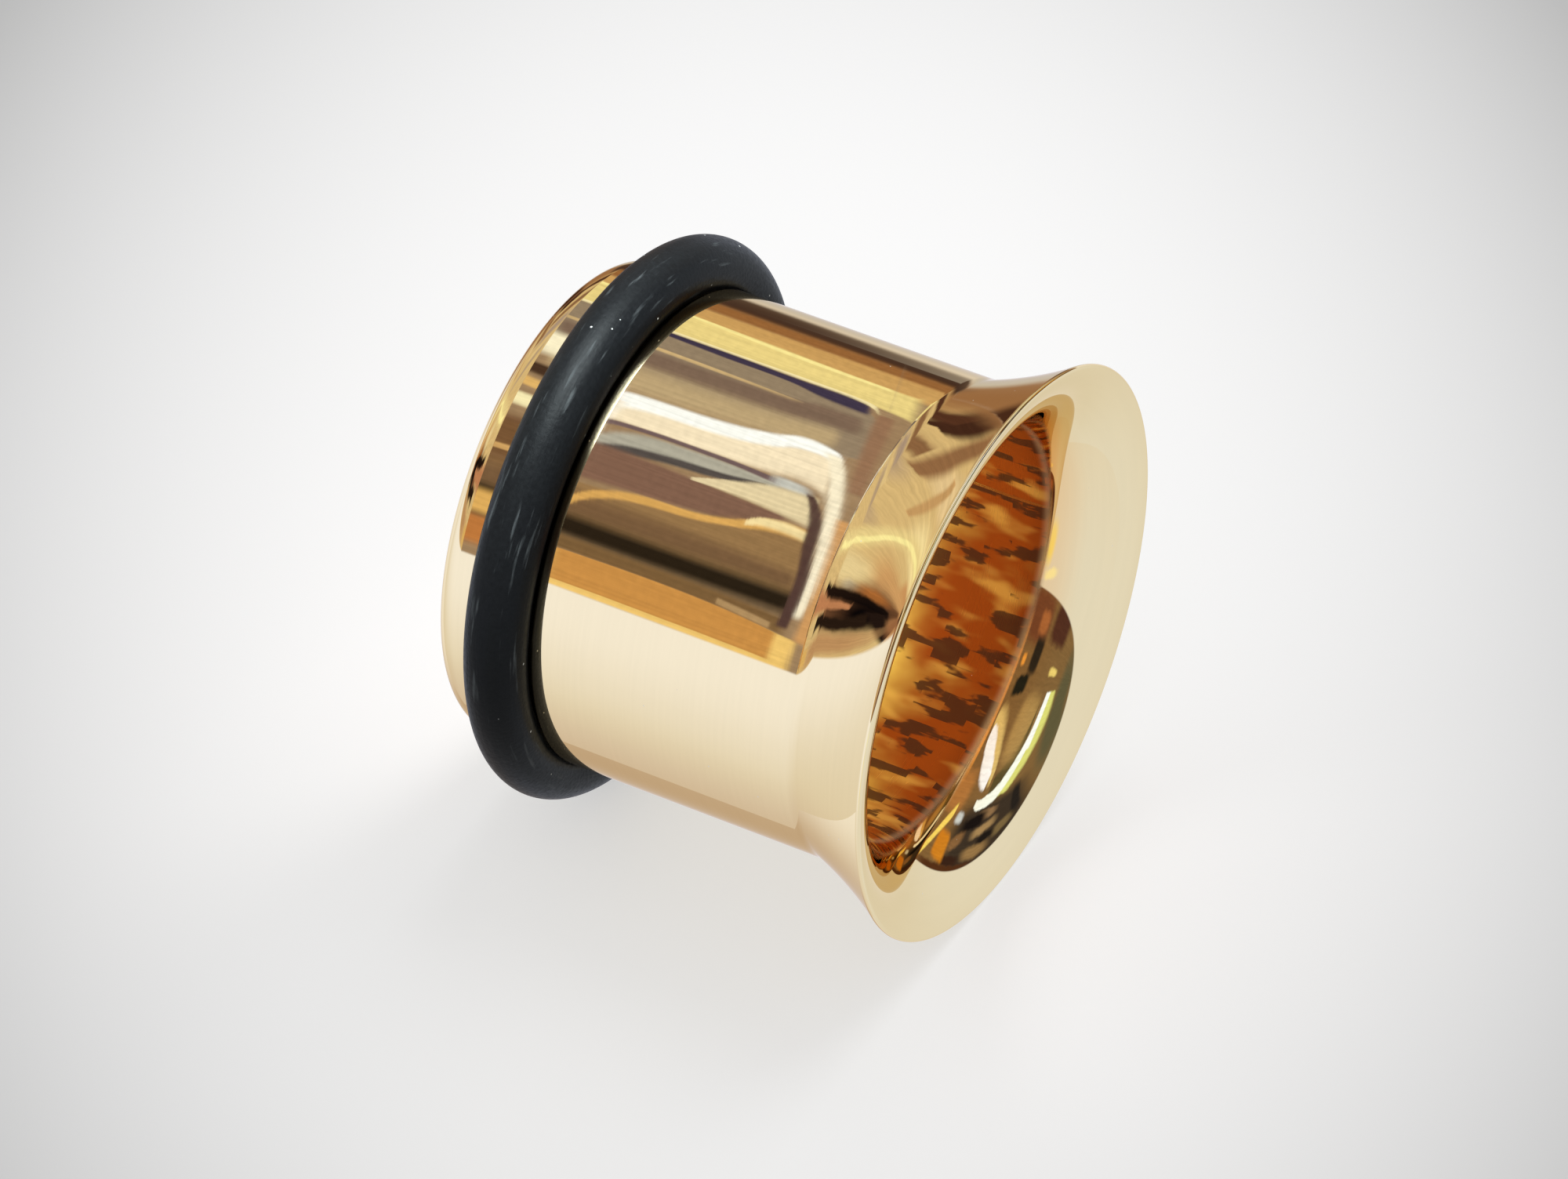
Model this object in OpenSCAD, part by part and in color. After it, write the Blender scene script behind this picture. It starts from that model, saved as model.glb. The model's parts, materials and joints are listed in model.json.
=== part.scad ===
// Single-flare ear tunnel: a turned metal tube that a rubber O-ring holds in the lobe.
// Lengths are in millimetres. The tunnel lies on its side on the plane z = 0, flare
// towards +X, and touches that plane with the rim of the flare and with the O-ring.

/* [Barrel] */
// Diameter of the barrel, which is the size that the tunnel is sold by
barrel_d = 12.7; // [11.6:0.05:12.8]
// Thickness of the wall between the barrel and the bore
wall = 0.9; // [0.85:0.05:1.3]
// Length of the whole tunnel, from the rim to the plain end
length = 12.85; // [12.6:0.05:16]
// Rounding of the plain end's outer edge
end_round = 0.6; // [0.3:0.05:0.7]
// Rounding of the bore's edge at the plain end
bore_round = 0.15; // [0.05:0.05:0.15]

/* [Flare] */
// Diameter of the flare at its rim
flare_d = 15.16; // [15.1:0.02:15.6]
// Length of the flare, from the rim to the crease where the barrel begins
flare_len = 2.75; // [2.6:0.05:2.9]
// Angle in degrees by which the outside turns outwards at the crease
crease_angle = 20; // [16:1:21]
// Rounding of the crease
crease_round = 1; // [0.6:0.1:1.2]
// Rounding of the rim's edge
rim_round = 0.08; // [0.06:0.02:0.12]
// Radius of the trumpet curve that leads from the bore to the rim
mouth_round = 2.4; // [2.2:0.05:2.6]

/* [O-ring and groove] */
// Outer diameter of the O-ring when it sits in its groove
ring_d = 15; // [14.8:0.02:15.1]
// Thickness of the O-ring's cord
cord_d = 1.6; // [1.5:0.02:1.62]
// Distance from the rim to the middle of the groove
groove_at = 10.79; // [9.5:0.01:10.8]
// Width of the groove
groove_w = 1.56; // [1.54:0.01:1.6]
// Rounding of the groove's two outer edges
groove_round = 0.08; // [0.02:0.02:0.1]
// Gap between the O-ring and the floor of the groove
seat_gap = 0.02; // [0.01:0.01:0.05]
// Depth to which the rubber is pressed flat where the O-ring lies on the plane
press_depth = 0.06; // [0.02:0.01:0.08]

/* [Hidden] */
$fn = 120;
// Steps that each rounding in the outline is drawn with
arc_steps = 12;

barrel_r = barrel_d / 2;
bore_r = barrel_r - wall;

// Centres of the O-ring's cord and of the groove, and the groove's floor and walls.
// Places along the tunnel are measured from the rim, and negative towards the plain end.
cord_r = cord_d / 2;
ring_r = ring_d / 2 - cord_r;
floor_r = ring_r - cord_r - seat_gap;
groove_front = -groove_at + groove_w / 2;
groove_back = -groove_at - groove_w / 2;

// Centre of the rim's rounding
rim_r = flare_d / 2 - rim_round;

// The crease is an arc that starts on the barrel, and the flare's outside is an arc that
// goes on from it and ends tangent to the rim's rounding.
crease_end = [
    -flare_len + crease_round * sin(crease_angle),
    barrel_r + crease_round * (1 - cos(crease_angle))
];
crease_normal = [-sin(crease_angle), cos(crease_angle)];
to_rim = [-rim_round, rim_r] - crease_end;
flare_round = (to_rim * to_rim - rim_round ^ 2) / (2 * (to_rim * crease_normal + rim_round));
flare_centre = crease_end + flare_round * crease_normal;
flare_to_rim = [-rim_round, rim_r] - flare_centre;
flare_end_angle = atan2(flare_to_rim.y, flare_to_rim.x);

// The mouth is an arc that starts tangent to the bore and ends tangent to the rim's rounding.
mouth_r = bore_r + mouth_round;
mouth_at = -rim_round - sqrt((mouth_round - rim_round) ^ 2 - (mouth_r - rim_r) ^ 2);
mouth_end_angle = atan2(rim_r - mouth_r, -rim_round - mouth_at);

// Lying on the rim and the O-ring, the tunnel's axis rises by this angle towards the flare.
contact_span = [groove_at - rim_round, rim_r - ring_r];
contact_drop = cord_r - press_depth - rim_round;
rest_tilt = atan2(contact_span.y, contact_span.x) - asin(contact_drop / norm(contact_span));
rim_height = rim_round + rim_round * sin(rest_tilt) + rim_r * cos(rest_tilt);
// Reach of the flare and of the plain end from the middle of the rim, along X
flare_reach = rim_round * (1 - cos(rest_tilt)) + rim_r * sin(rest_tilt);
end_reach = (length - end_round) * cos(rest_tilt) + (barrel_r - end_round) * sin(rest_tilt) + end_round;

// Turn of the tunnel about its own axis. It keeps the seam line of the turned surfaces
// this many degrees away from the line that the tunnel lies on.
seam_turn = 2.045;

// Points [radius, place] of an arc about a place on the outline, from one angle to another.
// Angles turn from the direction of the flare towards the outside.
function arc(place, radius, r, from, to) = [
    for (i = [0:arc_steps])
        let (angle = from + (to - from) * i / arc_steps)
        [radius + r * sin(angle), place + r * cos(angle)]
];

// Half section of the metal tube
module section() {
    polygon(concat(
        arc(-length + bore_round, bore_r + bore_round, bore_round, -90, -180),
        arc(-length + end_round, barrel_r - end_round, end_round, 180, 90),
        arc(groove_back - groove_round, barrel_r - groove_round, groove_round, 90, 0),
        [[floor_r, groove_back], [floor_r, groove_front]],
        arc(groove_front + groove_round, barrel_r - groove_round, groove_round, 180, 90),
        arc(-flare_len, barrel_r + crease_round, crease_round, -90, -90 + crease_angle),
        arc(flare_centre.x, flare_centre.y, flare_round, -90 + crease_angle, flare_end_angle),
        arc(-rim_round, rim_r, rim_round, flare_end_angle + 180, mouth_end_angle),
        arc(mouth_at, mouth_r, mouth_round, mouth_end_angle, -90)
    ));
}

// Lays what is turned about the z axis, with its rim at z = 0, on its side
module lay() {
    translate([(end_reach - flare_reach) / 2, 0, rim_height])
        rotate([0, 90 - rest_tilt, 0])
            rotate([0, 0, seam_turn])
                children();
}

module tunnel_body() {
    color([0.88, 0.68, 0.42])
        lay()
            rotate_extrude()
                section();
}

module o_ring() {
    color([0.12, 0.13, 0.14])
        difference() {
            lay()
                rotate_extrude()
                    translate([ring_r, -groove_at])
                        circle(r = cord_r);
            translate([-length, -ring_r, -cord_r])
                cube([length, 2 * ring_r, cord_r]);
        }
}

tunnel_body();
o_ring();
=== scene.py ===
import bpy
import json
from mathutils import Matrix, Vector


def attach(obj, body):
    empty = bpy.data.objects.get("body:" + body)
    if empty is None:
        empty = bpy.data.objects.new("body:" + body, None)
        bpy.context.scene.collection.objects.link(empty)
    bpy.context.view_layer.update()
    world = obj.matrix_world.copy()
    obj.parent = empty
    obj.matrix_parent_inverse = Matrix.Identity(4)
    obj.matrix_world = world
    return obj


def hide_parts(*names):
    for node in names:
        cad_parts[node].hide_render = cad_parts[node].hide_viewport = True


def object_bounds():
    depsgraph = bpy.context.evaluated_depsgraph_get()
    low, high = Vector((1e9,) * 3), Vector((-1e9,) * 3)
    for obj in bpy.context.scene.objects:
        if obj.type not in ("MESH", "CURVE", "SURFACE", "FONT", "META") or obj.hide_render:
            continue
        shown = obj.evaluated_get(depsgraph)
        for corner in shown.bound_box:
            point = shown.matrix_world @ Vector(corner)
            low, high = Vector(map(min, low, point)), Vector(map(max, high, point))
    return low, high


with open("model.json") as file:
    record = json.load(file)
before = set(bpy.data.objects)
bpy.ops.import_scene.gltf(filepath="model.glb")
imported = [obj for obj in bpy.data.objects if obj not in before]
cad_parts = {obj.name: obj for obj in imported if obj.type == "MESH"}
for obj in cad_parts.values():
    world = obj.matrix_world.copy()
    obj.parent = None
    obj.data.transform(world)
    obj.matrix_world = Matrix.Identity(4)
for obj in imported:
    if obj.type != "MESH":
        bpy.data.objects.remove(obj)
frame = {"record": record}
cad_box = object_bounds()

import inspect
import json
import math
from collections import namedtuple

import bpy
from mathutils import Quaternion, Vector

MM = 0.001

# Colours as linear red, green and blue: the polished metal, its turning lines, and the dust on it
GOLD = (0.9, 0.745, 0.48)
TURNED_GOLD = tuple(0.985 * c for c in GOLD)
GOLD_DUST = (0.8, 0.76, 0.68)
# Tint of the polished metal where it is seen at a low angle
GOLD_EDGE = (0.86, 0.76, 0.6)

# The tarnish in the bore, its darker colour near the mouth, painted glints on it, its dark
# flecks, painted shade in brown near the plain end, and a painted glow on the metal just outside the bore
TARNISH = (0.97, 0.72, 0.13)
DEEP_TARNISH = (0.34, 0.07, 0.008)
BRIGHT_TARNISH = (1.0, 0.62, 0.12)
FLECK = (0.075, 0.028, 0.012)
END_TARNISH = (0.16, 0.05, 0.012)
BORE_GLOW = (0.88, 0.5, 0.2)

# The rubber at its darkest and lightest, its scuffs, and the dust on it
RUBBER_DARK = (0.003, 0.0032, 0.0037)
RUBBER_LIGHT = (0.006, 0.0064, 0.0072)
SCUFF = (0.05, 0.054, 0.056)
RUBBER_DUST = (0.5, 0.5, 0.48)

BLACK = (0, 0, 0)

# Sizes of the tunnel, in millimetres
BARREL_R = 6.35
BORE_R = 5.45
LENGTH = 12.85
END_ROUND = 0.6
BORE_ROUND = 0.15
FLARE_R = 7.58
FLARE_LEN = 2.75
CREASE_ANGLE = math.radians(20)
CREASE_ROUND = 1
RIM_ROUND = 0.08
MOUTH_ROUND = 2.4
RING_OUTER_R = 7.5
CORD_R = 0.8
GROOVE_AT = 10.79
GROOVE_W = 1.56
GROOVE_ROUND = 0.08
SEAT_GAP = 0.02
# Rounding in the corners of the groove's floor
GROOVE_CORNER = 0.04

# Sides that the turned meshes have all round
TUNNEL_SIDES = 360
RING_SIDES = 256

# Centre of the mouth's trumpet curve, and the middle of the bore, along the tunnel from the rim
MOUTH_R = BORE_R + MOUTH_ROUND
RIM_R = FLARE_R - RIM_ROUND
MOUTH_AT = -RIM_ROUND - math.sqrt((MOUTH_ROUND - RIM_ROUND) ** 2 - (MOUTH_R - RIM_R) ** 2)
BORE_MIDDLE = (MOUTH_AT - LENGTH + BORE_ROUND) / 2


def tunnel_frame():
    """Middle of the rim, the direction along the tunnel, one level side of it, and upwards."""
    bore = next(m for m in frame["record"]["mounts"] if m["name"] == "bore")
    along = Vector(bore["axis"]).normalized()
    side = Vector((0, 1, 0))
    rim_centre = Vector(bore["pos_m"]) - along * BORE_MIDDLE * MM
    return rim_centre, along, side, along.cross(side).normalized()


def arc(place, radius, r, start, end, steps):
    """Outline points (place, radius, normal along, normal out) of an arc that bulges out of the metal."""
    points = []
    for i in range(steps + 1):
        angle = start + (end - start) * i / steps
        c, s = math.cos(angle), math.sin(angle)
        points.append((place + r * c, radius + r * s, c, s))
    return points


def hollow_arc(place, radius, r, start, end, steps):
    """The same for an arc that is hollowed out of the metal."""
    return [(a, b, -c, -s) for a, b, c, s in arc(place, radius, r, start, end, steps)]


def line(start, end, steps, normal):
    """Outline points between two others, both left out."""
    return [
        (
            start[0] + (end[0] - start[0]) * i / steps,
            start[1] + (end[1] - start[1]) * i / steps,
            normal[0],
            normal[1],
        )
        for i in range(1, steps)
    ]


def tunnel_outline():
    """Half section of the metal tube, from the bore round the plain end, out to the rim and back in."""
    quarter = math.pi / 2
    ring_r = RING_OUTER_R - CORD_R
    corner_r = ring_r - CORD_R - SEAT_GAP + GROOVE_CORNER
    front = -GROOVE_AT + GROOVE_W / 2
    back = -GROOVE_AT - GROOVE_W / 2

    crease_a = -FLARE_LEN + CREASE_ROUND * math.sin(CREASE_ANGLE)
    crease_r = BARREL_R + CREASE_ROUND * (1 - math.cos(CREASE_ANGLE))
    across = (-math.sin(CREASE_ANGLE), math.cos(CREASE_ANGLE))
    to_rim = (-RIM_ROUND - crease_a, RIM_R - crease_r)
    reach = to_rim[0] * across[0] + to_rim[1] * across[1]
    flare_r = (to_rim[0] ** 2 + to_rim[1] ** 2 - RIM_ROUND**2) / (2 * (reach + RIM_ROUND))
    flare_a0 = crease_a + flare_r * across[0]
    flare_r0 = crease_r + flare_r * across[1]
    flare_end = math.atan2(RIM_R - flare_r0, -RIM_ROUND - flare_a0)
    mouth_end = math.atan2(RIM_R - MOUTH_R, -RIM_ROUND - MOUTH_AT)

    bore_back = arc(-LENGTH + BORE_ROUND, BORE_R + BORE_ROUND, BORE_ROUND, -quarter, -2 * quarter, 8)
    end_edge = arc(-LENGTH + END_ROUND, BARREL_R - END_ROUND, END_ROUND, 2 * quarter, quarter, 16)
    groove_edge_b = arc(back - GROOVE_ROUND, BARREL_R - GROOVE_ROUND, GROOVE_ROUND, quarter, 0, 6)
    groove_in_b = hollow_arc(back + GROOVE_CORNER, corner_r, GROOVE_CORNER, math.pi, 3 * quarter, 3)
    groove_in_f = hollow_arc(front - GROOVE_CORNER, corner_r, GROOVE_CORNER, -quarter, 0, 3)
    groove_edge_f = arc(front + GROOVE_ROUND, BARREL_R - GROOVE_ROUND, GROOVE_ROUND, math.pi, quarter, 6)
    crease_end = -quarter + CREASE_ANGLE
    crease = hollow_arc(-FLARE_LEN, BARREL_R + CREASE_ROUND, CREASE_ROUND, -quarter, crease_end, 6)
    flare = hollow_arc(flare_a0, flare_r0, flare_r, crease_end, flare_end, 40)
    rim = arc(-RIM_ROUND, RIM_R, RIM_ROUND, flare_end + math.pi, mouth_end, 24)
    mouth = arc(MOUTH_AT, MOUTH_R, MOUTH_ROUND, mouth_end, -quarter, 56)
    out = (0, 1)
    inward = (0, -1)
    outline = []
    outline += bore_back + end_edge
    outline += line(end_edge[-1], groove_edge_b[0], 4, out) + groove_edge_b
    outline += groove_in_b + groove_in_f + groove_edge_f
    outline += line(groove_edge_f[-1], crease[0], 24, out) + crease
    outline += flare[1:] + rim[1:] + mouth[1:]
    outline += line(mouth[-1], bore_back[0], 32, inward)
    return outline


def ring_outline():
    """Section of the O-ring's cord."""
    ring_r = RING_OUTER_R - CORD_R
    return arc(-GROOVE_AT, ring_r, CORD_R, 2 * math.pi, 0, 64)[:-1]


def turned(name, outline, sides):
    """Mesh of an outline that is turned about the tunnel's axis, with smooth exact normals.

    Each point keeps its place on the tunnel: millimetres from the rim, millimetres from the
    axis, and the share of a turn.
    """
    rim_centre, along, side, up = tunnel_frame()
    rows = len(outline)
    verts, normals, spots, faces = [], [], [], []
    for i in range(sides):
        turn = 2 * math.pi * i / sides
        out = side * math.cos(turn) + up * math.sin(turn)
        for a, r, na, nr in outline:
            point = rim_centre + (along * a + out * r) * MM
            point.z = max(point.z, 0)
            verts.append(point)
            normals.append((along * na + out * nr).normalized())
            spots += [a, r, i / sides]
    for i in range(sides):
        j = (i + 1) % sides
        for k in range(rows):
            m = (k + 1) % rows
            faces.append((i * rows + k, j * rows + k, j * rows + m, i * rows + m))
    mesh = bpy.data.meshes.new(name)
    mesh.from_pydata(verts, [], faces)
    mesh.attributes.new("place", "FLOAT_VECTOR", "POINT").data.foreach_set("vector", spots)
    mesh.shade_smooth()
    mesh.normals_split_custom_set_from_vertices(normals)
    piece = bpy.data.objects.new(name, mesh)
    bpy.context.scene.collection.objects.link(piece)
    return piece


def opaque(colour):
    return (*colour, 1)


class Nodes:
    """Adds nodes to one node tree and links them.

    add returns the new node, and the methods after plug return its output.
    """

    def __init__(self, tree):
        self.tree = tree

    def add(self, kind, **settings):
        node = self.tree.nodes.new(kind)
        for name, value in settings.items():
            setattr(node, name, value)
        return node

    def plug(self, value, socket):
        if isinstance(value, bpy.types.NodeSocket):
            self.tree.links.new(value, socket)
        elif value is not None:
            socket.default_value = value

    def maths(self, kind, a, b=None):
        node = self.add("ShaderNodeMath", operation=kind)
        self.plug(a, node.inputs[0])
        self.plug(b, node.inputs[1])
        return node.outputs[0]

    def times(self, a, b):
        return self.maths("MULTIPLY", a, b)

    def plus(self, a, b):
        return self.maths("ADD", a, b)

    def vector(self, kind, a, b=None):
        node = self.add("ShaderNodeVectorMath", operation=kind)
        self.plug(a, node.inputs[0])
        self.plug(b, node.inputs[1])
        return node.outputs["Value" if kind == "DOT_PRODUCT" else "Vector"]

    def join(self, x, y, z=0.0):
        node = self.add("ShaderNodeCombineXYZ")
        for value, socket in zip((x, y, z), node.inputs):
            self.plug(value, socket)
        return node.outputs[0]

    def split(self, value):
        node = self.add("ShaderNodeSeparateXYZ")
        self.plug(value, node.inputs[0])
        return node.outputs[0], node.outputs[1], node.outputs[2]

    def mix(self, colour, share, over):
        node = self.add("ShaderNodeMix", data_type="RGBA")
        self.plug(share, node.inputs["Factor"])
        for value, name in ((colour, "A"), (over, "B")):
            self.plug(opaque(value) if isinstance(value, tuple) else value, node.inputs[name])
        return node.outputs["Result"]

    def fade(self, value, start, end, low=0.0, high=1.0):
        node = self.add("ShaderNodeMapRange", interpolation_type="SMOOTHSTEP")
        for setting, name in ((start, "From Min"), (end, "From Max"), (low, "To Min"), (high, "To Max")):
            self.plug(setting, node.inputs[name])
        self.plug(value, node.inputs["Value"])
        return node.outputs[0]

    def noise(self, place, detail=2.0):
        node = self.add("ShaderNodeTexNoise")
        node.inputs["Scale"].default_value = 1
        node.inputs["Detail"].default_value = detail
        self.plug(place, node.inputs["Vector"])
        return node.outputs[0]

    def chance(self, place):
        """Number from 0 to 1 that each place has for itself."""
        node = self.add("ShaderNodeTexWhiteNoise")
        self.plug(place, node.inputs["Vector"])
        return node.outputs["Value"]

    def bump(self, height, depth):
        node = self.add("ShaderNodeBump")
        node.inputs["Distance"].default_value = depth
        self.plug(height, node.inputs["Height"])
        return node.outputs[0]


def material(name):
    made = bpy.data.materials.new(name)
    made.use_nodes = True
    bsdf = made.node_tree.nodes["Principled BSDF"]
    return made, Nodes(made.node_tree), bsdf.inputs


def place_on_tunnel(n):
    """Along, away from the axis and share of a turn, then the two cross coordinates, in mm."""
    tag = n.add("ShaderNodeAttribute", attribute_name="place")
    a, r, turn = n.split(tag.outputs["Vector"])
    angle = n.times(turn, 2 * math.pi)
    x = n.times(r, n.maths("COSINE", angle))
    y = n.times(r, n.maths("SINE", angle))
    return a, r, turn, x, y


def scaled(n, a, x, y, along, across):
    """Noise place that runs `along` times as fast along the tunnel and `across` times across it."""
    return n.join(n.times(a, along), n.times(x, across), n.times(y, across))


def specks(n, a, x, y, size, share):
    """Small dust specks: a share of the cells that fill the surface has one, in its middle."""
    cells_per_mm = 2.2
    cells = n.add("ShaderNodeTexVoronoi")
    cells.inputs["Scale"].default_value = 1
    n.plug(scaled(n, a, x, y, cells_per_mm, cells_per_mm), cells.inputs["Vector"])
    chosen = n.split(cells.outputs["Color"])[0]
    near = n.fade(cells.outputs["Distance"], size, size * 0.5)
    return n.times(near, n.maths("LESS_THAN", chosen, share))


def tarnished(n, a, x, y, turn):
    """Colour of the unpolished bore. It is deepest near the mouth and has dark flecks, painted
    glints and painted shade towards the plain end.
    """
    depth = n.fade(a, MOUTH_AT - 6.5, MOUTH_AT + 0.5)
    patches = n.noise(scaled(n, a, x, y, 0.35, 0.45), 3)
    shade = n.fade(n.plus(n.times(depth, 0.65), patches), 0.62, 1.12)
    # The bore's colour turns darker towards the mouth.
    colour = n.mix(TARNISH, shade, DEEP_TARNISH)
    # Painted highlights: bright amber glints laid over the bore's colour.
    glint = n.fade(n.noise(scaled(n, a, x, y, 0.5, 1.3), 2), 0.5, 0.7)
    colour = n.mix(colour, n.times(glint, 0.5), BRIGHT_TARNISH)

    # The flecks are streaks with stepped edges, because the wall has columns of small
    # cells, each column slipped by its own share of a cell.
    columns_round = 137
    rows_per_mm = 1.3
    column = n.maths("FLOOR", n.times(turn, columns_round))
    slip = n.chance(n.join(column, 0))
    row = n.maths("FLOOR", n.plus(n.times(a, rows_per_mm), slip))
    streaks = n.noise(scaled(n, a, x, y, 0.75, 2.1), 3)
    fleck = n.fade(n.plus(streaks, n.times(n.chance(n.join(row, column)), 0.2)), 0.63, 0.7)
    colour = n.mix(colour, n.times(fleck, 0.9), FLECK)

    # Painted shade: towards the plain end the bore's colour is darkened to brown.
    return n.mix(colour, n.times(n.fade(a, -5.2, -8.2), 0.85), END_TARNISH)


def gold():
    made, n, surface = material("polished_gold")
    a, r, turn, x, y = place_on_tunnel(n)
    turning = n.noise(scaled(n, a, x, y, 9.0, 0.3), 4)
    cloudy = n.noise(scaled(n, a, x, y, 0.5, 0.5), 3)
    dust = specks(n, a, x, y, 0.06, 0.2)
    inside = n.fade(r, BORE_R + 0.12, BORE_R + 0.03)

    metal = n.mix(GOLD, n.fade(turning, 0.3, 0.7), TURNED_GOLD)
    # Painted glow: the metal within 0.6 mm of the bore's radius is tinted orange.
    metal = n.mix(metal, n.times(n.fade(r, BORE_R + 0.6, BORE_R), 0.5), BORE_GLOW)
    colour = n.mix(metal, inside, tarnished(n, a, x, y, turn))
    n.plug(n.mix(colour, dust, GOLD_DUST), surface["Base Color"])

    bare = n.fade(inside, 0, 1, 1.0, 0.35)
    n.plug(n.maths("SUBTRACT", bare, n.times(dust, 0.6)), surface["Metallic"])
    polish = n.fade(n.times(turning, cloudy), 0.1, 0.5, 0.006, 0.018)
    n.plug(n.plus(polish, n.times(inside, 0.26)), surface["Roughness"])
    n.plug(n.bump(turning, 8e-9), surface["Normal"])
    surface["Specular IOR Level"].default_value = 0.1
    surface["Specular Tint"].default_value = opaque(GOLD_EDGE)
    return made


def rubber():
    made, n, surface = material("black_rubber")
    a, r, _, x, y = place_on_tunnel(n)
    grain = n.noise(scaled(n, a, x, y, 9.0, 9.0), 4)
    dust = specks(n, a, x, y, 0.085, 0.24)

    # Scuffs run round the ring, so they change ten times as fast across the cord as round it.
    across_cord = 7
    round_ring = 0.7
    rubbed = n.add("ShaderNodeTexNoise", noise_dimensions="4D")
    rubbed.inputs["Scale"].default_value = 1
    rubbed.inputs["Detail"].default_value = 4
    place = n.join(n.times(a, across_cord), n.times(r, across_cord), n.times(x, round_ring))
    n.plug(place, rubbed.inputs["Vector"])
    n.plug(n.times(y, round_ring), rubbed.inputs["W"])
    scuff = n.fade(rubbed.outputs[0], 0.58, 0.74)

    colour = n.mix(RUBBER_DARK, grain, RUBBER_LIGHT)
    colour = n.mix(colour, n.times(scuff, 0.6), SCUFF)
    n.plug(n.mix(colour, n.times(dust, 0.7), RUBBER_DUST), surface["Base Color"])
    rough = n.plus(grain, n.times(scuff, 0.3))
    n.plug(n.fade(rough, 0.3, 1.0, 0.36, 0.55), surface["Roughness"])
    n.plug(n.bump(n.plus(n.times(grain, 0.5), rubbed.outputs[0]), 1.4e-5), surface["Normal"])
    surface["IOR"].default_value = 1.14
    return made


# Painted light falloff: the floor is lightest at its middle. Away from there it turns greyer, and faster
# across than away from the camera's side. Lengths are in millimetres.
FLOOR_MIDDLE = (-4.8, 8.6, 0)
FLOOR_ACROSS = (0.873, 0.488, 0)
FLOOR_AWAY = (-0.488, 0.873, 0)
FLOOR_AWAY_SHARE = 0.6
FLOOR_REACH = 20.7
FLOOR_LOSS = 0.28
FLOOR_LOSS_POWER = 2.4
FLOOR_MOST_LOSS = 0.5
FLOOR_HALF = 1500
# Grey of the floor, and of the light that it gives out itself
FLOOR_GREY = (0.42, 0.42, 0.42)
FLOOR_LIGHT = (0.525, 0.525, 0.525)


def floor():
    mesh = bpy.data.meshes.new("floor")
    half = FLOOR_HALF * MM
    corners = [(-half, -half, 0), (half, -half, 0), (half, half, 0), (-half, half, 0)]
    mesh.from_pydata(corners, [], [(0, 1, 2, 3)])
    piece = bpy.data.objects.new("floor", mesh)
    bpy.context.scene.collection.objects.link(piece)

    made, n, surface = material("floor")
    here = n.add("ShaderNodeTexCoord").outputs["Object"]
    place = n.vector("SUBTRACT", here, tuple(c * MM for c in FLOOR_MIDDLE))
    wide = n.vector("DOT_PRODUCT", place, FLOOR_ACROSS)
    deep = n.times(n.vector("DOT_PRODUCT", place, FLOOR_AWAY), FLOOR_AWAY_SHARE)
    reach = n.maths("SQRT", n.plus(n.times(wide, wide), n.times(deep, deep)))
    share = n.maths("POWER", n.maths("DIVIDE", reach, FLOOR_REACH * MM), FLOOR_LOSS_POWER)
    # Painted falloff: the floor's colour and its own light darken away from its middle.
    loss = n.maths("MINIMUM", n.times(share, FLOOR_LOSS), FLOOR_MOST_LOSS)
    n.plug(n.mix(FLOOR_GREY, loss, BLACK), surface["Base Color"])
    n.plug(n.mix(FLOOR_LIGHT, loss, BLACK), surface["Emission Color"])
    surface["Emission Strength"].default_value = 1
    surface["Roughness"].default_value = 0.9
    mesh.materials.append(made)
    piece.visible_glossy = False


# Camera: where it stands in millimetres, the direction that it looks in, its turn about that
# direction in degrees, and its focal length and sensor width in millimetres
CAMERA_PLACE = (76.644, -137.164, 146.093)
CAMERA_AHEAD = (-0.364998, 0.653623, -0.662988)
CAMERA_ROLL = 0.377
CAMERA_LENS = 191.57
CAMERA_SENSOR = 36


def camera():
    data = bpy.data.cameras.new("camera")
    data.lens = CAMERA_LENS
    data.sensor_width = CAMERA_SENSOR
    data.clip_start = 0.01
    roll = Quaternion((0, 0, 1), math.radians(CAMERA_ROLL))
    rig = bpy.data.objects.new("camera", data)
    rig.location = Vector(CAMERA_PLACE) * MM
    rig.rotation_euler = (Vector(CAMERA_AHEAD).to_track_quat("-Z", "Y") @ roll).to_euler()
    bpy.context.scene.collection.objects.link(rig)
    bpy.context.scene.camera = rig


def linear(level):
    """Linear light of one sRGB level from 0 to 255."""
    level = level / 255
    return level / 12.92 if level <= 0.04045 else ((level + 0.055) / 1.055) ** 2.4


def seen(red, green, blue):
    """Light that looks like this sRGB colour in the polished metal."""
    return tuple(linear(c) / t for c, t in zip((red, green, blue), GOLD))


# What the polished metal mirrors: soft lights, cards and walls that stand on a white table.
# Angles are in degrees: round is the angle about the tunnel, from straight up towards the
# camera's side, and along is the angle towards the flare. Each shape is drawn over the ones
# before it, and look is its colour in the metal.

# A flat shape. lean turns it by that many degrees round for each degree along. edge shapes
# it, from 2, an oval, up to a sharp box.
Card = namedtuple("Card", "name round along half_round half_along lean edge softness look")

# A stripe through points. Each point is (along, round, half width), or (round, along, half
# width) for a stripe that is laid out round.
Stripe = namedtuple("Stripe", "name laid softness look points")

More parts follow.
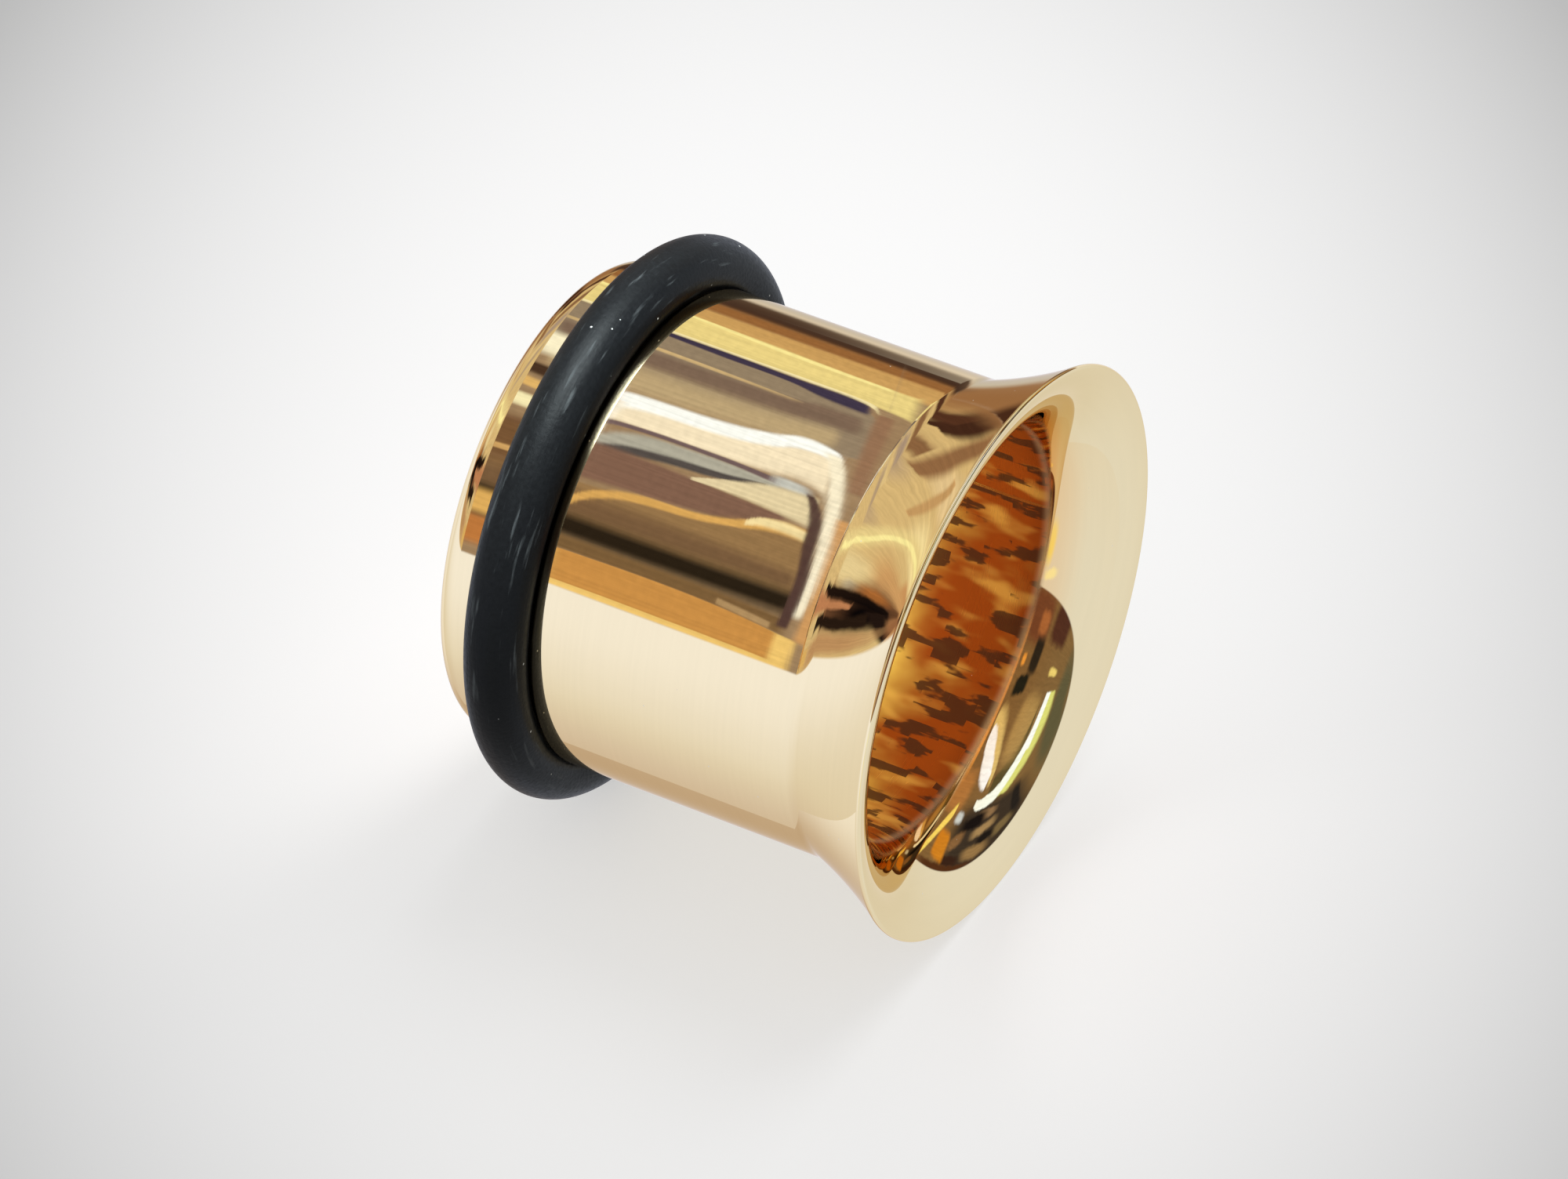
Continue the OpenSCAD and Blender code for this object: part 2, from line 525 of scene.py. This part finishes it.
WALLS = (
    Card("mouth_wall", 0, 46, 100, 40, 0, 8, 0.05, (130, 98, 56)),
    Card("gold_wall", 12, 46, 15, 9, 0, 3, 0.4, (172, 136, 76)),
    Card("ceiling", -5, 77, 80, 7, 0, 4, 0.5, (96, 88, 58)),
    Card("red_shelf", 72, 48, 12, 10, 0, 4, 0.3, (82, 48, 33)),
    Card("brown_shelf", 70, 20, 14, 14, 0, 4, 0.3, (116, 70, 42)),
    Card("orange_shelf", 68, 27, 6, 5, 0, 4, 0.4, (168, 104, 56)),
    Card("low_wall", -33, 14, 14, 8, 0, 3, 0.4, (176, 122, 64)),
    Card("left_corner", -68, 44, 27, 21, 0, 4, 0.25, (62, 50, 37)),
    Card("left_box_1", -80, 41, 5, 6, 0, 3, 0.5, (150, 116, 70)),
    Card("left_box_2", -68, 28, 5, 4, 1, 3, 0.5, (136, 98, 58)),
    Card("left_box_3", -63, 44, 4, 6, 0.3, 3, 0.5, (166, 132, 84)),
    Card("left_box_4", -75, 54, 5, 4, 0, 3, 0.5, (122, 100, 62)),
    Card("left_box_5", -51, 44, 3.5, 5, 0, 3, 0.5, (146, 112, 74)),
    Card("left_box_6", -55, 36, 5, 7, 0.4, 3, 0.4, (26, 20, 17)),
    Card("left_box_7", -72, 46, 3, 4, 0, 3, 0.4, (32, 26, 21)),
    Card("left_box_8", -83, 27, 4, 6, 0, 3, 0.4, (58, 36, 24)),
    Card("left_post", -60, 60, 16, 2, -0.6, 4, 0.4, (40, 34, 28)),
    Card("orange_board", -73, 19, 11, 4.5, -0.5, 5, 0.25, (208, 130, 34)),
    Card("dark_rail", -90, 24, 3.5, 16, 0, 5, 0.4, (84, 48, 24)),
    Stripe("yellow_rail", "along", 0.4, (250, 222, 105), (
        (8, -82, 5), (11, -69, 6), (14, -57, 7), (18, -46, 4))),
    Card("small_pane", -51, 23.5, 4, 2.5, 0, 3, 0.5, (206, 212, 206)),
    Stripe("arch_shade", "along", 0.5, (92, 78, 44), (
        (38, -30, 9), (46, -20, 9), (52, -4, 9), (55, 14, 12))),
    Card("arch_inside", 6, 43, 20, 8, 0, 2.5, 0.5, (176, 140, 80)),
    Stripe("arch_edge", "round", 0.5, (222, 220, 118), (
        (-40, 47, 5), (-20, 59, 5), (0, 64, 4.5), (16, 65, 4), (31, 64.5, 3))),
    Stripe("arch", "along", 0.25, (253, 254, 234), (
        (31, -41, 3), (37, -41, 4.5), (44, -36, 6.5), (50, -26, 8.5), (55, -13, 9.5), (58, -4, 7))),
    Stripe("arch_foot", "round", 0.3, (255, 255, 242), (
        (-12, 56.5, 3.5), (0, 58.5, 2.8), (15, 60, 2.4), (31, 60.5, 2.2))),
    Stripe("lamp_edge", "along", 0.6, (222, 192, 116), (
        (13, 13, 4), (18, 10, 9), (25, 0, 11), (32, -14, 9), (36, -24, 5))),
    Stripe("lamp", "along", 0.25, (255, 255, 250), (
        (14, 4, 3), (18, -1, 9), (23, -10, 11), (28, -18, 10), (33, -26, 6))),
    Card("doorway", 33, 24, 5.5, 6.5, 0.3, 5, 0.3, (36, 34, 24)),
    Card("doorway_side", 50, 30, 10, 5, 0, 5, 0.3, (46, 38, 27)),
    Card("small_lamp", 46, 17, 3, 2, 0, 3, 0.5, (236, 160, 64)),
    Card("yellow_lamp", 44.5, 56.5, 3, 4.5, 0, 3, 0.4, (238, 208, 112)),
    Card("orange_rail", 22, 9.6, 40, 1.8, 0, 6, 0.4, (240, 165, 75)),

    Card("flare_wall", 0, -56, 120, 33, 0, 8, 0.02, (214, 180, 118)),
    Card("low_boards", 0, -88, 180, 5, 0, 8, 0.3, (200, 146, 90)),
    Card("orange_corner", 18, -80, 20, 9, 0, 3, 0.6, (204, 154, 96)),
    Card("bright_corner", -38, -80, 14, 8, 0, 3, 0.6, (246, 222, 156)),
    Card("pale_curtain", -66, -67, 10, 8, 0.6, 3, 0.5, (228, 196, 140)),
    Stripe("curtain_fold", "round", 0.6, (196, 152, 96), ((-70, -63, 1), (-50, -67, 1.5), (-30, -66, 1))),
    Stripe("tan_fold", "along", 0.6, (222, 190, 128), ((-54, -30, 4), (-42, -23, 4), (-25, -24, 4))),
    Card("grey_fold", -40, -40, 7, 13, 0, 3, 0.6, (170, 144, 118)),
    Card("grey_fold_low", -15, -46, 5, 14, -0.5, 3, 0.6, (180, 152, 116)),
    Stripe("yellow_sweep", "along", 0.8, (232, 206, 136), (
        (-86, -48, 7), (-77, -33, 9), (-70, -16, 8), (-62, 3, 8), (-56, 11, 7), (-42, 18, 6), (-29, 22, 6))),
    Stripe("yellow_line", "along", 0.6, (252, 234, 154), (
        (-85, -44, 3), (-77, -31, 3), (-70, -14, 2.6), (-62, 5, 2.4), (-56, 13, 2.4), (-32, 23, 2))),
    Card("cream_board", 26, -64, 10, 7, 0, 3, 0.7, (228, 202, 142)),
    Card("pale_patch", 37, -66, 3.5, 2.5, 0, 2.5, 0.8, (212, 194, 152)),
    Stripe("hook_shade", "along", 0.6, (104, 68, 42), (
        (-88, 56, 18), (-82, 46, 20), (-75, 48, 20), (-68, 52, 17), (-61, 56, 15), (-54, 56, 10))),
    Card("hook_glow", 36, -76, 6, 6, 0, 2.5, 0.7, (168, 102, 48)),
    Card("hook_end", 55, -56, 15, 3.5, 0, 3, 0.6, (124, 84, 52)),
    Card("far_folds", -96, -33, 16, 10, 0, 4, 0.5, (176, 132, 82)),
    Stripe("dark_arc", "round", 0.5, (68, 40, 26), (
        (-104, -42, 3), (-92, -46, 4), (-82, -47, 5), (-72, -44, 4))),
    Stripe("dark_arc_low", "along", 0.5, (84, 50, 32), ((-46, -84, 5), (-36, -78, 4.5), (-25, -77, 4.5))),
    Stripe("brown_arc", "round", 0.6, (146, 104, 66), (
        (-92, -53, 2), (-74, -56, 2.6), (-58, -57, 3.4), (-48, -54, 3))),
    Stripe("brown_arc_low", "along", 0.6, (138, 98, 62), ((-52, -58, 6), (-38, -57, 6), (-25, -60, 6))),
    Stripe("hook_top", "along", 0.5, (32, 20, 13), (
        (-84, 60, 8), (-80, 47, 5), (-72, 44, 5), (-66, 44, 4), (-60, 45, 4), (-50, 46, 4), (-37, 44, 4))),
    Card("hook", 57, -74, 14, 9, 0.2, 2.5, 0.7, (11, 7, 7)),
    Stripe("hook_leg", "round", 0.5, (34, 22, 16), (
        (52, -79, 4), (70, -81.5, 3), (85, -83, 2.5), (100, -84, 2))),
    Stripe("hook_low", "along", 0.5, (38, 25, 16), (
        (-76, 60, 7), (-70, 64, 5), (-62, 66, 4), (-50, 62, 4), (-39, 64, 5))),
    Stripe("hook_gap", "along", 0.6, (186, 124, 80), (
        (-69, 51, 1.5), (-63, 53, 3), (-50, 53, 4), (-34, 52, 6), (-23.5, 52, 9))),
    Card("under_hook", 80, -58, 7, 22, 0, 4, 0.6, (186, 140, 90)),
    Card("under_hook_end", 80, -29, 5, 7, 0, 4, 0.5, (216, 170, 92)),
    Card("brown_corner", 82, -87, 20, 3, 0, 3, 0.6, (150, 100, 62)),

    Card("pale_wall", 0, -5, 70, 12, 0, 4, 0.3, (234, 218, 168)),

    Card("barrel_wall", 0, -22.9, 118, 1.9, 0, 10, 0.04, (158, 128, 92)),
    Stripe("far_dark", "along", 0.25, (64, 42, 32), ((-24.7, -96, 8), (-22.4, -95, 8.5), (-21, -93, 9))),
    Stripe("amber", "along", 0.6, (152, 102, 56), ((-24.7, -83, 5), (-22.4, -82, 5.5), (-21, -80, 6))),
    Stripe("tan", "along", 0.3, (206, 160, 94), ((-24.7, -73, 6), (-22.4, -71, 6.5), (-21, -70, 8))),
    Stripe("yellow", "along", 0.15, (234, 210, 132), (
        (-24.7, -61, 9), (-22.6, -59, 8), (-21.9, -58, 7), (-21.5, -57, 9))),
    Stripe("yellow_top", "along", 0.6, (250, 232, 150), (
        (-24.7, -71, 1), (-23, -67, 1.2), (-22.4, -64.5, 1.1), (-21.7, -64, 1))),
    Stripe("card_outline", "along", 0.3, (246, 228, 170), (
        (-24, -51.8, 1), (-22.6, -51.4, 1), (-21.95, -51.2, 1), (-21.75, -48, 1.5))),
    Stripe("grey_card", "along", 0.07, (148, 128, 101), (
        (-24.7, -34, 17), (-22.2, -33.5, 17), (-21.95, -33, 17), (-21.8, -31, 14), (-21.7, -27, 6))),
    Stripe("blue_top", "along", 0.4, (64, 54, 70), (
        (-23.4, -49.5, 1.2), (-22.9, -49, 1.7), (-22.4, -48.5, 1.6), (-22.15, -47.3, 3.2),
        (-21.95, -46.8, 3.8), (-21.8, -46, 2.4))),
    Stripe("tan_line", "along", 0.5, (206, 174, 120), ((-24, -38, 1), (-23, -36.8, 1), (-22.25, -35, 0.9))),
    Stripe("brown_middle", "along", 0.5, (126, 102, 82), (
        (-24, -31, 5), (-22.4, -31, 4.5), (-22.1, -33.5, 5), (-21.82, -34, 4))),
    Stripe("tan_foot", "along", 0.8, (188, 162, 118), ((-24, -17, 7), (-22.5, -20, 6), (-21.95, -24, 4))),
    Stripe("window_cream", "along", 0.35, (247, 228, 190), (
        (-23.5, 0, 5), (-22.7, -1, 5.5), (-22.3, -4, 7), (-22.05, -6, 8), (-21.9, -2, 9))),
    Stripe("window", "along", 0.35, (255, 254, 242), (
        (-23.6, -2, 4.5), (-23.35, -6, 3.8), (-22.7, -8.5, 3.6), (-22.35, -12, 3.5), (-22.1, -16, 3.3),
        (-21.96, -15, 3), (-21.86, -9, 3.5))),
    Stripe("window_end", "round", 0.5, (251, 238, 204), (
        (-15, -21.93, 0.06), (-5, -21.86, 0.055), (15, -21.8, 0.05), (40, -21.77, 0.045), (62, -21.8, 0.03))),
    Stripe("window_start", "round", 0.6, (251, 241, 216), (
        (-4, -23.46, 0.07), (8, -23.53, 0.05), (22, -23.6, 0.04))),
    Stripe("pane", "along", 0.4, (176, 170, 150), (
        (-23.55, 20, 3.5), (-23.25, 12.5, 3.8), (-22.8, 10.5, 3.8), (-22.4, 9.5, 3.2), (-22.2, 8, 2))),
    Stripe("pane_line", "along", 0.5, (116, 94, 90), (
        (-23.5, 9, 1.4), (-23.2, 5.6, 1.2), (-22.7, 5.4, 1.1), (-22.3, 6.3, 1.1), (-21.98, 8, 1.1))),
    Stripe("pane_foot", "along", 0.5, (84, 76, 70), (
        (-23.6, 26, 3), (-23.35, 17.5, 2.2), (-23.1, 15, 1.8), (-22.6, 13, 1.4), (-22.3, 10.5, 1))),
    Card("pane_light", 6.5, -22.13, 2.6, 0.13, 4, 3, 0.5, (200, 198, 184)),
    Stripe("brown_wall", "along", 0.2, (130, 96, 76), (
        (-24.2, 30, 9), (-23.3, 26, 8.5), (-22.8, 25.5, 7), (-22.4, 25, 5), (-22.1, 23, 2))),
    Stripe("pale_wedge", "along", 0.3, (228, 208, 162), (
        (-22.8, 18.5, 0.8), (-22.5, 16, 3), (-22.2, 14.5, 5.5), (-21.92, 15, 7))),
    Stripe("olive_wall", "along", 0.12, (150, 116, 74), (
        (-24.2, 48, 8), (-23.3, 46, 9), (-22.7, 44, 11), (-22.3, 41, 13), (-21.85, 40, 14))),
    Stripe("olive_shade", "along", 0.8, (120, 90, 60), ((-24.2, 48, 6), (-23, 47, 4.5), (-21.9, 47, 3))),
    Stripe("amber_line", "along", 0.5, (220, 168, 90), (
        (-23.55, 47, 1.8), (-23.35, 40, 1.9), (-23.15, 36.5, 1.8), (-22.6, 33.5, 1.5), (-22.35, 30, 1.8),
        (-22.15, 26.5, 2.4), (-21.92, 26, 2.2))),
    Stripe("amber_light", "along", 0.6, (246, 222, 160), (
        (-22.35, 29.5, 1), (-22.13, 25.8, 2), (-21.92, 26.5, 1.8))),
    Stripe("near_edge", "round", 0.5, (226, 196, 160), (
        (-14, -23.5, 0.07), (5, -23.56, 0.07), (30, -23.63, 0.06), (66, -23.68, 0.06))),
    Stripe("dark_shelf", "along", 0.7, (42, 32, 20), (
        (-24.7, 58, 5.5), (-22.8, 57.5, 5.5), (-21.85, 57, 5.5))),
    Stripe("khaki", "along", 0.35, (122, 92, 56), ((-24.7, 67, 3.5), (-22.6, 66, 3.5), (-21.85, 68, 3.5))),
    Stripe("khaki_light", "along", 0.5, (174, 140, 94), ((-22.35, 67, 1.6), (-21.95, 69, 1.4))),
    Stripe("tail_white", "along", 0.5, (252, 240, 200), ((-25, -23, 6), (-23.74, -21, 6))),
    Stripe("tail_dark", "along", 0.5, (72, 50, 34), ((-25, -9, 2.6), (-23.74, -4, 3))),
    Stripe("tail_gold", "along", 0.5, (226, 180, 104), ((-25, -3, 1.6), (-23.74, 3, 2))),
    Stripe("tail_pale", "along", 0.5, (250, 236, 180), ((-25, 10, 2), (-23.74, 11, 2.6))),
    Stripe("tail_brown", "along", 0.4, (118, 84, 52), ((-25, 31, 11), (-23.74, 30, 11))),
    Stripe("tail_line", "along", 0.5, (208, 162, 98), ((-25, 39, 1.2), (-23.74, 33, 1.4))),
    Stripe("tail_foot", "along", 0.5, (222, 172, 92), ((-25, 63, 5), (-23.74, 60, 5))),
    Stripe("tail_orange", "along", 0.4, (190, 120, 60), ((-25, 75, 6), (-23.74, 74, 6))),
    Stripe("frame_side", "round", 0.4, (84, 60, 52), (
        (7, -21.99, 0.03), (16, -21.91, 0.045), (30, -21.88, 0.045), (48, -21.85, 0.04), (68, -21.87, 0.04))),
    Stripe("card_edge", "along", 0.08, (240, 197, 110), (
        (-23.62, 78.5, 8), (-22.7, 78, 8.2), (-22, 79, 8), (-21.74, 79.5, 7.5))),
    Stripe("orange_card", "along", 0.06, (202, 142, 70), (
        (-23.52, 76.5, 6.8), (-22.7, 76, 7), (-22.2, 76.5, 6.8), (-21.89, 77.5, 6.2))),
    Stripe("crease_brown", "round", 0.5, (150, 112, 82), (
        (-46, -21.68, 0.06), (-20, -21.7, 0.06), (0, -21.71, 0.05))),
    Stripe("crease_tan", "round", 0.5, (208, 154, 94), (
        (14, -21.7, 0.06), (40, -21.68, 0.06), (72, -21.7, 0.06))),
)

# What lies on the white table, drawn over it
ON_THE_TABLE = (
    Card("far_cloth", -108, -44, 17, 18, 0.2, 4, 0.4, (158, 112, 70)),
    Stripe("far_cloth_fold", "round", 0.5, (74, 44, 28), ((-122, -40, 4), (-108, -44, 3.5), (-95, -46.5, 3))),
    Card("far_cloth_near", -97, -26, 9, 5.5, 0, 4, 0.4, (70, 48, 36)),
    Card("pale_corner", -118, -26, 9, 5, 0, 3, 0.5, (212, 204, 180)),
    Card("near_lamp", 93, 17, 3, 6, 0.3, 3, 0.5, (252, 238, 164)),
    Card("near_lamp_side", 110, 10, 12, 4, 0, 3, 0.5, (250, 222, 110)),
    Card("table_shade", 168, -24, 40, 60, 0, 2, 0.9, (226, 208, 170)),
    Card("table_dusk", 180, -24, 22, 14, 0, 2, 0.9, (216, 194, 162)),
    Card("table_dusk_far", -180, -24, 50, 14, 0, 2, 0.9, (200, 172, 136)),
)


def group(name, build):
    """Node group that paints the colour look over the colour under, where build's mask is 1.

    The group's number inputs are the parameters that build takes after its nodes.
    """
    numbers = list(inspect.signature(build).parameters)[1:]
    tree = bpy.data.node_groups.new(name, "ShaderNodeTree")
    tree.interface.new_socket("colour", in_out="OUTPUT", socket_type="NodeSocketColor")
    for number in numbers:
        tree.interface.new_socket(number, in_out="INPUT", socket_type="NodeSocketFloat")
    for colour in ("under", "look"):
        tree.interface.new_socket(colour, in_out="INPUT", socket_type="NodeSocketColor")
    n = Nodes(tree)
    given = n.add("NodeGroupInput").outputs
    mask = build(n, **{number: given[number] for number in numbers})
    n.plug(n.mix(given["under"], mask, given["look"]), n.add("NodeGroupOutput").inputs[0])
    return tree


def card_mask(n, turn, along, round, at, half_round, half_along, lean, edge, outer, inner):
    off = n.maths("SUBTRACT", along, at)
    across = n.maths("SUBTRACT", n.maths("SUBTRACT", turn, n.times(off, lean)), round)
    x = n.maths("POWER", n.maths("ABSOLUTE", n.maths("DIVIDE", across, half_round)), edge)
    y = n.maths("POWER", n.maths("ABSOLUTE", n.maths("DIVIDE", off, half_along)), edge)
    reach = n.maths("POWER", n.plus(x, y), n.maths("DIVIDE", 1.0, edge))
    return n.fade(reach, outer, inner)


def stripe_mask(n, aside, share, middle, half, outer, inner):
    off = n.maths("ABSOLUTE", n.maths("SUBTRACT", aside, middle))
    body = n.fade(n.maths("DIVIDE", off, half), outer, inner)
    ends = n.fade(n.maths("ABSOLUTE", n.maths("SUBTRACT", share, 0.5)), 0.52, 0.48)
    return n.times(body, ends)


def through(n, points, column, share):
    """Smooth line through one column of a stripe's points."""
    low = min(point[column] for point in points) - 1
    high = max(point[column] for point in points) + 1
    start, end = points[0][0], points[-1][0]
    node = n.add("ShaderNodeFloatCurve")
    knots = node.mapping.curves[0].points
    for _ in points[2:]:
        knots.new(0.5, 0.5)
    for knot, point in zip(knots, points):
        knot.location = ((point[0] - start) / (end - start), (point[column] - low) / (high - low))
    node.mapping.update()
    n.plug(share, node.inputs["Value"])
    stretch = n.add("ShaderNodeMath", operation="MULTIPLY_ADD")
    for value, socket in zip((node.outputs[0], high - low, low), stretch.inputs):
        n.plug(value, socket)
    return stretch.outputs[0]


def painted(n, colour, shapes, turn, along):
    """The colour with each of the shapes drawn over it in turn."""
    for shape in shapes:
        if isinstance(shape, Card):
            tree = bpy.data.node_groups["card"]
            values = dict(
                turn=turn, along=along, round=shape.round, at=shape.along,
                half_round=shape.half_round, half_along=shape.half_along,
                lean=shape.lean, edge=shape.edge)
        else:
            tree = bpy.data.node_groups["stripe"]
            run, aside = (along, turn) if shape.laid == "along" else (turn, along)
            start, end = shape.points[0][0], shape.points[-1][0]
            share = n.maths("DIVIDE", n.maths("SUBTRACT", run, start), end - start)
            values = dict(
                aside=aside, share=share, middle=through(n, shape.points, 1, share),
                half=through(n, shape.points, 2, share))
        values.update(outer=1 + shape.softness, inner=1 - shape.softness)
        values.update(under=colour, look=opaque(seen(*shape.look)))
        node = n.add("ShaderNodeGroup", node_tree=tree)
        for name, value in values.items():
            n.plug(value, node.inputs[name])
        colour = node.outputs[0]
    return colour


# Looks of the room behind all its shapes, and of the white table at the plain end and the flare
ROOM_LOOK = (150, 112, 70)
TABLE_LOOK = (246, 233, 206)
TABLE_LOOK_AT_FLARE = (228, 215, 182)

# The near edge of the table is a little higher than the far one: slope of the edge along the
# tunnel and across it, and the height at which the table ends and the room begins.
TABLE_SLOPE_ALONG = 0.057
TABLE_SLOPE_ACROSS = 0.064
TABLE_EDGE = (0.035, 0.012)

# Degrees by which the upright lines in the room sway
SWAY = 5.0


def room(n):
    """Colour of the studio in each direction, as the metal mirrors it."""
    group("card", card_mask)
    group("stripe", stripe_mask)
    direction = n.add("ShaderNodeTexCoord").outputs["Generated"]
    _, axis, side, up = tunnel_frame()
    toward = n.vector("DOT_PRODUCT", direction, -side)
    upward = n.vector("DOT_PRODUCT", direction, up)
    turn = n.maths("DEGREES", n.maths("ARCTAN2", toward, upward))
    along = n.maths("DEGREES", n.maths("ARCSINE", n.vector("DOT_PRODUCT", direction, axis)))

    # Nothing stands quite straight, and the walls are streaked.
    sway = n.noise(n.join(n.times(turn, 0.09), n.times(along, 0.25)), 4)
    turn = n.plus(turn, n.times(n.maths("SUBTRACT", sway, 0.5), SWAY))
    streaks = n.noise(n.join(n.times(turn, 0.7), n.times(along, 0.12)), 4)
    close = n.fade(along, -26, -19.5, 0, 95)
    mottle = n.noise(n.join(n.times(turn, 0.35), close, 7.0), 6)
    uneven = n.times(n.fade(streaks, 0.25, 0.75, 0.93, 1.07), n.fade(mottle, 0.25, 0.75, 0.93, 1.07))

    colour = painted(n, opaque(seen(*ROOM_LOOK)), WALLS, turn, along)
    colour = n.vector("MULTIPLY", colour, n.join(uneven, uneven, uneven))
    level = up - TABLE_SLOPE_ALONG * axis + TABLE_SLOPE_ACROSS * side
    height = n.vector("DOT_PRODUCT", direction, level)
    table = n.mix(seen(*TABLE_LOOK), n.fade(along, -12, 12), seen(*TABLE_LOOK_AT_FLARE))
    colour = n.mix(colour, n.fade(height, *TABLE_EDGE), table)
    return painted(n, colour, ON_THE_TABLE, turn, along)


# Strength of the even white light from all round
DOME_STRENGTH = 0.83

# Lamps: width of each, its power in watts, and for the key its place and what it points at.
# Lengths are in metres.
KEY_WIDTH = 0.25
KEY_POWER = 0.42
KEY_PLACE = (0.03, 0.15, 0.32)
KEY_AIM = (0, 0, 0.005)
BORE_LAMP_RADIUS = 0.002
BORE_LAMP_POWER = 0.0019
# Place of the lamp in the bore, from the rim
BORE_LAMP_AT = 0.009
RING_LAMP_WIDTH = 0.1
RING_LAMP_POWER = 0.8
RING_LAMP_COLOUR = (0.86, 0.98, 1)
# Height of the O-ring's lamp above the tunnel's axis
RING_LAMP_HEIGHT = 0.12


def studio():
    """Even white light from all round, while polished metal mirrors the room."""
    world = bpy.data.worlds.new("studio")
    world.use_nodes = True
    n = Nodes(world.node_tree)
    dome = world.node_tree.nodes["Background"]
    dome.inputs["Color"].default_value = (1, 1, 1, 1)
    dome.inputs["Strength"].default_value = DOME_STRENGTH
    mirrored = n.add("ShaderNodeBackground")
    n.plug(room(n), mirrored.inputs["Color"])
    mix = n.add("ShaderNodeMixShader")
    n.plug(n.add("ShaderNodeLightPath").outputs["Is Glossy Ray"], mix.inputs[0])
    n.plug(dome.outputs[0], mix.inputs[1])
    n.plug(mirrored.outputs[0], mix.inputs[2])
    n.plug(mix.outputs[0], world.node_tree.nodes["World Output"].inputs["Surface"])
    bpy.context.scene.world = world
    bpy.context.scene.view_settings.view_transform = "Standard"


def disk_lamp(name, width, power, place, back):
    """Round area lamp. back is the direction away from its light."""
    data = bpy.data.lights.new(name, "AREA")
    data.shape = "DISK"
    data.size = width
    data.energy = power
    lamp = bpy.data.objects.new(name, data)
    lamp.location = place
    lamp.rotation_euler = back.to_track_quat("Z", "Y").to_euler()
    bpy.context.scene.collection.objects.link(lamp)
    return lamp


def key_light():
    """Soft lamp behind the tunnel. The metal doesn't mirror it."""
    place = Vector(KEY_PLACE)
    lamp = disk_lamp("key", KEY_WIDTH, KEY_POWER, place, place - Vector(KEY_AIM))
    lamp.visible_glossy = False


def bore_light():
    """Small lamp on the axis that lights the bore from within, and is itself not seen."""
    rim_centre, along, _, _ = tunnel_frame()
    data = bpy.data.lights.new("bore_lamp", "POINT")
    data.shadow_soft_size = BORE_LAMP_RADIUS
    data.energy = BORE_LAMP_POWER
    lamp = bpy.data.objects.new("bore_lamp", data)
    lamp.location = rim_centre - along * BORE_LAMP_AT
    lamp.visible_camera = False
    lamp.visible_glossy = False
    bpy.context.scene.collection.objects.link(lamp)


def ring_light(ring):
    """Soft lamp above the O-ring, for its sheen alone."""
    rim_centre, along, _, up = tunnel_frame()
    place = rim_centre - along * GROOVE_AT * MM + up * RING_LAMP_HEIGHT
    lamp = disk_lamp("ring_light", RING_LAMP_WIDTH, RING_LAMP_POWER, place, up)
    lamp.data.color = RING_LAMP_COLOUR
    lamp.visible_camera = False
    lit = bpy.data.collections.new("lit_by_ring_light")
    lit.objects.link(ring)
    lamp.light_linking.receiver_collection = lit


def dress(piece, node, made, slot):
    """Gives a piece its material, hangs it on the root body and hides the solid node."""
    piece.data.materials.append(made)
    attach(piece, "root")
    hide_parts(node)


camera()
studio()
key_light()
bore_light()
floor()
tunnel = turned("tunnel", tunnel_outline(), TUNNEL_SIDES)
dress(tunnel, "tunnel_body", gold(), "polished_gold")
ring = turned("ring", ring_outline(), RING_SIDES)
dress(ring, "o_ring", rubber(), "black_rubber")
ring_light(ring)
